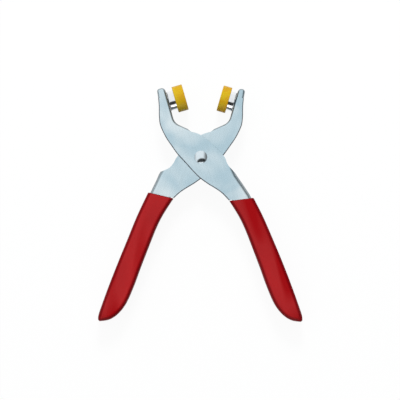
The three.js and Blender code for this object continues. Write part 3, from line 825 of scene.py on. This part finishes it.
def cut_edge_shade(name):
    """The sheared edge of the sheet and the rounded-over edges of the open side: far darker than bare
    steel, as painted shade that draws dark outlines, with the tool's fine streaks across it.
    """
    f = Finish(name, Metallic=0.8)
    # dark tones: bare sheared steel in part, painted shade for the outlines in part
    dark, light = color(0.1, 0.115, 0.13), color(0.2, 0.22, 0.24)
    stain = f.mix(f.span(f.noise(240), 0, 1), dark, light)
    streaks = f.noise(1500, roughness=0.6, stretch=(1, 1, 0.08))
    rough = f.span(streaks, 0.4, 0.6)
    normal = f.bump(streaks, strength=0.2, distance=0.00005)
    return f.to_shader(Base_Color=stain, Roughness=rough, Normal=normal)


def spring_steel(name):
    """Oiled spring wire, stained in patches, with the marks of drawing."""
    f = Finish(name, Metallic=0.9)
    dark, light = color(0.22, 0.22, 0.23), color(0.34, 0.34, 0.34)
    stain = f.mix(f.span(f.noise(300), 0, 1), dark, light)
    drawn = f.noise(1800, stretch=(1, 1, 0.2))
    rough = f.span(drawn, 0.28, 0.42)
    normal = f.bump(drawn, strength=0.1, distance=0.00003)
    return f.to_shader(Base_Color=stain, Roughness=rough, Normal=normal)


def nickel_plate(name):
    """Polished nickel with a slight haze and fine scratches."""
    f = Finish(name, Metallic=1.0)
    bright, hazy = color(0.9, 0.91, 0.92), color(0.84, 0.85, 0.86)
    haze = f.noise(380, detail=3, roughness=0.6)
    tint = f.mix(f.span(haze, 0, 1), bright, hazy)
    rough = f.span(haze, 0.06, 0.14)
    scratches = f.noise(1400, stretch=(1, 1, 0.1))
    normal = f.bump(scratches, strength=0.03, distance=0.00003)
    return f.to_shader(Base_Color=tint, Roughness=rough, Normal=normal)


def turned_steel(name):
    """Turned steel, with the lathe's rings about the piece's own axis."""
    f = Finish(name, Metallic=1.0)
    dark, light = color(0.62, 0.63, 0.65), color(0.72, 0.73, 0.74)
    tint = f.mix(f.span(f.noise(500), 0, 1), dark, light)
    rings = f.node("TexWave", {
        "Vector": f.place(), "Scale": 900, "Distortion": 0.6, "Detail": 1, "Detail Scale": 3,
    }, wave_type="RINGS", rings_direction="Z").outputs["Fac"]
    rough = f.span(rings, 0.22, 0.36, start=0, end=1)
    normal = f.bump(rings, strength=0.12, distance=0.00003)
    return f.to_shader(Base_Color=tint, Roughness=rough, Normal=normal)


def yellow_plastic(name):
    """Moulded plastic: flow clouds from yellow to amber, a faint draw texture and soft gloss."""
    f = Finish(name, Specular_IOR_Level=0.22, Subsurface_Weight=0.05, Subsurface_Scale=0.0008)
    f.shader.inputs["Subsurface Radius"].default_value = (1, 0.6, 0.2)
    yellow, amber = color(0.58, 0.39, 0.005), color(0.56, 0.3, 0.004)
    flow = f.span(f.noise(150, distortion=0.8), 0, 1, start=0.36, end=0.64)
    tint = f.mix(flow, yellow, amber)
    skin = f.noise(1300, detail=3, roughness=0.6)
    rough = f.span(skin, 0.36, 0.5)
    normal = f.bump(skin, strength=0.1, distance=0.00005)
    return f.to_shader(Base_Color=tint, Roughness=rough, Normal=normal)


def red_vinyl(name):
    """Dipped vinyl: a soft gloss, a slight orange peel, shallow runs and darker handled patches.

    Its rounded sides are painted deeper in colour and duller: painted shade. So are long streaks, shifted
    to lie where shade falls across the grips' faces.
    """
    f = Finish(name)
    fresh, handled = color(0.43, 0.005, 0.007), color(0.35, 0.004, 0.006)
    streak_shade, side_shade = color(0.33, 0.001, 0.003), color(0.2, 0.0015, 0.004)
    patch_noise = f.noise(38, detail=3, roughness=0.55, stretch=(1, 0.5, 1))
    patches = f.span(patch_noise, 0, 1, start=0.38, end=0.64)
    # long streaks, shifted to lie where shade falls on the grips, take a deeper red and less gloss:
    # painted shade
    streak_noise = f.noise(70, detail=1, stretch=(1, 0.22, 1), shift=STREAK_SHIFT)
    shade_streaks = f.span(streak_noise, 0, 1, start=0.48, end=0.6)
    # the rounded sides take a deeper red and less gloss: painted shade
    side = f.span(f.flatness(), 1, 0, start=VINYL_SIDE, end=VINYL_TOP)
    tint = f.mix(side, f.mix(shade_streaks, f.mix(patches, fresh, handled), streak_shade), side_shade)
    streak_shine = f.span(shade_streaks, 0.27, 0.08, start=0, end=1)
    side_share = f.span(side, 1, 0.3, start=0, end=1)
    shine = f.node("Math", {0: streak_shine, 1: side_share}, operation="MULTIPLY").outputs[0]
    rough = f.span(patches, 0.33, 0.45, start=0, end=1)
    runs = f.bump(f.noise(120, stretch=(1, 0.25, 1)), strength=0.15, distance=0.0003)
    normal = f.bump(f.noise(900), strength=0.12, distance=0.00006, under=runs)
    return f.to_shader(Base_Color=tint, Roughness=rough, Specular_IOR_Level=shine, Normal=normal)


STEEL = plated_steel("lever_plating", SHEET_COOL, SHEET_WARM, WALL_SHADE_TINT, 0.23, 0.29)
RIVET_STEEL = plated_steel("rivet_plating", RIVET_TINT, RIVET_TINT, RIVET_TINT, 0.14, 0.2)
CUT_EDGE_SHADE = cut_edge_shade("sheared_edge_painted_shade")
SPRING_STEEL = spring_steel("spring_wire")
NICKEL = nickel_plate("die_nickel")
CORE_STEEL = turned_steel("turned_core")
YELLOW = yellow_plastic("collar_yellow")
RED = red_vinyl("grip_red")


def dress(obj, node, place, slot, *materials, mirror=False):
    """Gives a piece its materials, scale, place and smooth shading, and hides the CAD node that it stands
    for.
    """
    mesh = obj.data
    mesh.transform(Matrix.Scale(MM, 4))
    if mirror:
        mesh.transform(Matrix.Scale(-1, 4, (1, 0, 0)))
        mesh.flip_normals()
    for material in materials:
        mesh.materials.append(material)
    mesh.polygons.foreach_set("use_smooth", [True] * len(mesh.polygons))
    mesh.set_sharp_from_angle(angle=SMOOTH_ANGLE)
    weighted = obj.modifiers.new("flat_faces_first", "WEIGHTED_NORMAL")
    weighted.keep_sharp = True
    obj.matrix_world = place
    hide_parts(node)
    return obj


UP_TO_MIDDLE = Matrix.Translation((0, 0, MID_HEIGHT))


def build_half(label, shape, die_pieces):
    """One lever with its grip and its die, riding on its body."""
    place = UP_TO_MIDDLE @ Matrix.Rotation(shape["side"] * HALF_OPEN, 4, "Z")
    mirror = shape["side"] < 0
    name = label + "_lever"
    steel = lever("pressed_" + name, shape)
    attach(dress(steel, name, place, "lever_steel", STEEL, CUT_EDGE_SHADE, mirror=mirror), shape["body"])
    name = label + "_grip"
    sleeve = grip("dipped_" + name, shape)
    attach(dress(sleeve, name, place, "grip_vinyl", RED, mirror=mirror), shape["body"])
    seat = Vector((-shape["side"] * shape["face"], DIE_HEIGHT, 0)) * MM
    die_place = place @ Matrix.Translation(seat) @ Matrix.Rotation(shape["side"] * math.pi / 2, 4, "Y")
    for node, profile, slot, material in die_pieces:
        piece = turned("turned_" + node, profile)
        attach(dress(piece, node, die_place, slot, material), shape["body"])


build_half("outer", SHAPES["outer"], [
    ("ring_die_cup", cup_profile(RING_NECK), "die_plating", NICKEL),
    ("ring_die_core", ring_core_profile(), "die_core", CORE_STEEL),
    ("ring_die_collar", collar_profile(RING_NECK, RING_COLLAR), "collar_plastic", YELLOW),
    ("ring_die_washer", washer_profile(), "die_core", CORE_STEEL),
])
build_half("inner", SHAPES["inner"], [
    ("socket_die_cup", cup_profile(SOCKET_NECK), "die_plating", NICKEL),
    ("socket_die_core", socket_core_profile(), "die_core", CORE_STEEL),
    ("socket_die_collar", collar_profile(SOCKET_NECK, SOCKET_COLLAR), "collar_plastic", YELLOW),
    ("socket_die_washer", washer_profile(), "die_core", CORE_STEEL),
])
pin = rivet("headed_pivot_rivet")
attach(dress(pin, "pivot_rivet", UP_TO_MIDDLE, "rivet_steel", RIVET_STEEL), "outer_half")
tube = spacer("turned_pivot_spacer")
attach(dress(tube, "pivot_spacer", UP_TO_MIDDLE, "rivet_steel", RIVET_STEEL), "outer_half")

coil, coil_rise = spring("wound_return_spring")
dress(coil, "return_spring", UP_TO_MIDDLE, "spring_steel", SPRING_STEEL)
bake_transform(coil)

# Camera straight above, at the photograph's scale, framing and slight roll
PHOTO_SIDE = 400
MM_PER_PIXEL = 0.62
PIVOT_PIXEL = Vector((200.8, 157.2))
CAMERA_ROLL = math.radians(0.2)
CAMERA_DISTANCE = 1.4
SENSOR = 36


def aim_camera():
    view_width = PHOTO_SIDE * MM_PER_PIXEL * MM
    data = bpy.data.cameras.new("camera")
    data.sensor_width = SENSOR
    data.lens = SENSOR * CAMERA_DISTANCE / view_width
    camera = bpy.data.objects.new("camera", data)
    bpy.context.scene.collection.objects.link(camera)
    bpy.context.scene.camera = camera
    roll = Matrix.Rotation(CAMERA_ROLL, 4, "Z")
    off_centre = Vector((PHOTO_SIDE / 2 - PIVOT_PIXEL.x, PIVOT_PIXEL.y - PHOTO_SIDE / 2, 0))
    centre = roll @ (off_centre * MM_PER_PIXEL * MM)
    camera.matrix_world = Matrix.Translation((centre.x, centre.y, MID_HEIGHT + CAMERA_DISTANCE)) @ roll


# Floor: white paper to the camera and in reflections, which passes little light on to the pliers
FLOOR_SIDE = 8
FLOOR_CELLS = 8
FLOOR_DROP = 0.0002
PAPER_SEEN = color(0.96, 0.96, 0.96)
PAPER_UNSEEN = color(0.4, 0.4, 0.4)
PAPER_GLOW = 0.93
WHITE = color(1, 1, 1)


def floor_paper(name):
    """Paper that partly glows to the rays that show it, and still takes the pliers' shadow."""
    f = Finish(name, Roughness=0.9, Specular_IOR_Level=0.1)
    rays = f.node("LightPath").outputs
    is_seen = rays["Is Camera Ray"]
    for kind in ("Is Glossy Ray", "Is Transmission Ray"):
        is_seen = f.node("Math", {0: is_seen, 1: rays[kind]}, operation="MAXIMUM").outputs[0]
    f.to_shader(Base_Color=f.mix(is_seen, PAPER_UNSEEN, PAPER_SEEN))
    glow_share = f.node("Math", {0: is_seen, 1: PAPER_GLOW}, operation="MULTIPLY").outputs[0]
    glow = f.node("Emission", {"Color": WHITE, "Strength": 1}).outputs[0]
    mixed = f.node("MixShader", {0: glow_share, 1: f.shader.outputs[0], 2: glow}).outputs[0]
    f.tree.links.new(mixed, f.tree.nodes["Material Output"].inputs["Surface"])
    return f.material


def lay_floor():
    bm = bmesh.new()
    bmesh.ops.create_grid(bm, x_segments=FLOOR_CELLS, y_segments=FLOOR_CELLS, size=FLOOR_SIDE / 2)
    floor = new_object("floor", bm)
    floor.location.z = -FLOOR_DROP
    floor.data.materials.append(floor_paper("floor_paper"))


# Studio: a pale room, dimmer to both sides, with a round dark card over the near edge, which the dies
# and the rivet mirror. The card fades out near the horizon.
ROOM_LEVEL = 0.95
ROOM_TINT = color(0.97, 0.99, 1)
CARD_WAY = Vector((0.13, -0.78, 0.62)).normalized()
CARD_EDGE = math.radians(45)
CARD_CORE = math.radians(35)
CARD_LEVEL = 0.04


def dimmed(tree, level, value, start, end, least):
    """A level that falls to its least share where a value goes from start to end."""
    fall = {"Value": value, "From Min": start, "From Max": end, "To Min": 1, "To Max": least}
    share = add_node(tree, "MapRange", fall, interpolation_type="SMOOTHSTEP").outputs["Result"]
    return add_node(tree, "Math", {0: level, 1: share}, operation="MULTIPLY").outputs[0]


def light_room():
    world = bpy.data.worlds.new("studio")
    world.use_nodes = True
    bpy.context.scene.world = world
    tree = world.node_tree
    direction = add_node(tree, "TexCoord").outputs["Generated"]
    way = add_node(tree, "SeparateXYZ", {"Vector": direction}).outputs
    room = dimmed(tree, ROOM_LEVEL, way["X"], start=0.3, end=0.8, least=0.2)
    room = dimmed(tree, room, way["X"], start=-0.6, end=-1, least=0.4)
    compared = add_node(tree, "VectorMath", {0: direction, 1: CARD_WAY}, operation="DOT_PRODUCT")
    core, edge = math.cos(CARD_CORE), math.cos(CARD_EDGE)
    card = dimmed(tree, 1, way["Z"], start=0.5, end=0.38, least=0)
    card = dimmed(tree, card, compared.outputs["Value"], start=core, end=edge, least=0)
    room = dimmed(tree, room, card, start=0, end=1, least=CARD_LEVEL)
    background = tree.nodes["Background"].inputs
    background["Color"].default_value = ROOM_TINT
    tree.links.new(room, background["Strength"])


LAMP_DISTANCE = 1.1


def soft_lamp(name, way, side, watts, mirrored):
    """A square lamp that looks at the pliers from a direction; metal shows it only where mirrored."""
    data = bpy.data.lights.new(name, "AREA")
    data.shape = "SQUARE"
    data.size = side
    data.energy = watts
    lamp = bpy.data.objects.new(name, data)
    bpy.context.scene.collection.objects.link(lamp)
    toward = Vector(way).normalized()
    lamp.location = Vector((0, 0, MID_HEIGHT)) + toward * LAMP_DISTANCE
    lamp.rotation_mode = "QUATERNION"
    lamp.rotation_quaternion = toward.to_track_quat("Z", "Y")
    lamp.visible_glossy = mirrored


aim_camera()
lay_floor()
light_room()
soft_lamp("key", way=(0, 0.74, 0.66), side=0.3, watts=7.6, mirrored=False)
soft_lamp("fill", way=(0.05, -0.93, 0.36), side=0.8, watts=2, mirrored=True)
bpy.context.scene.view_settings.view_transform = "Standard"
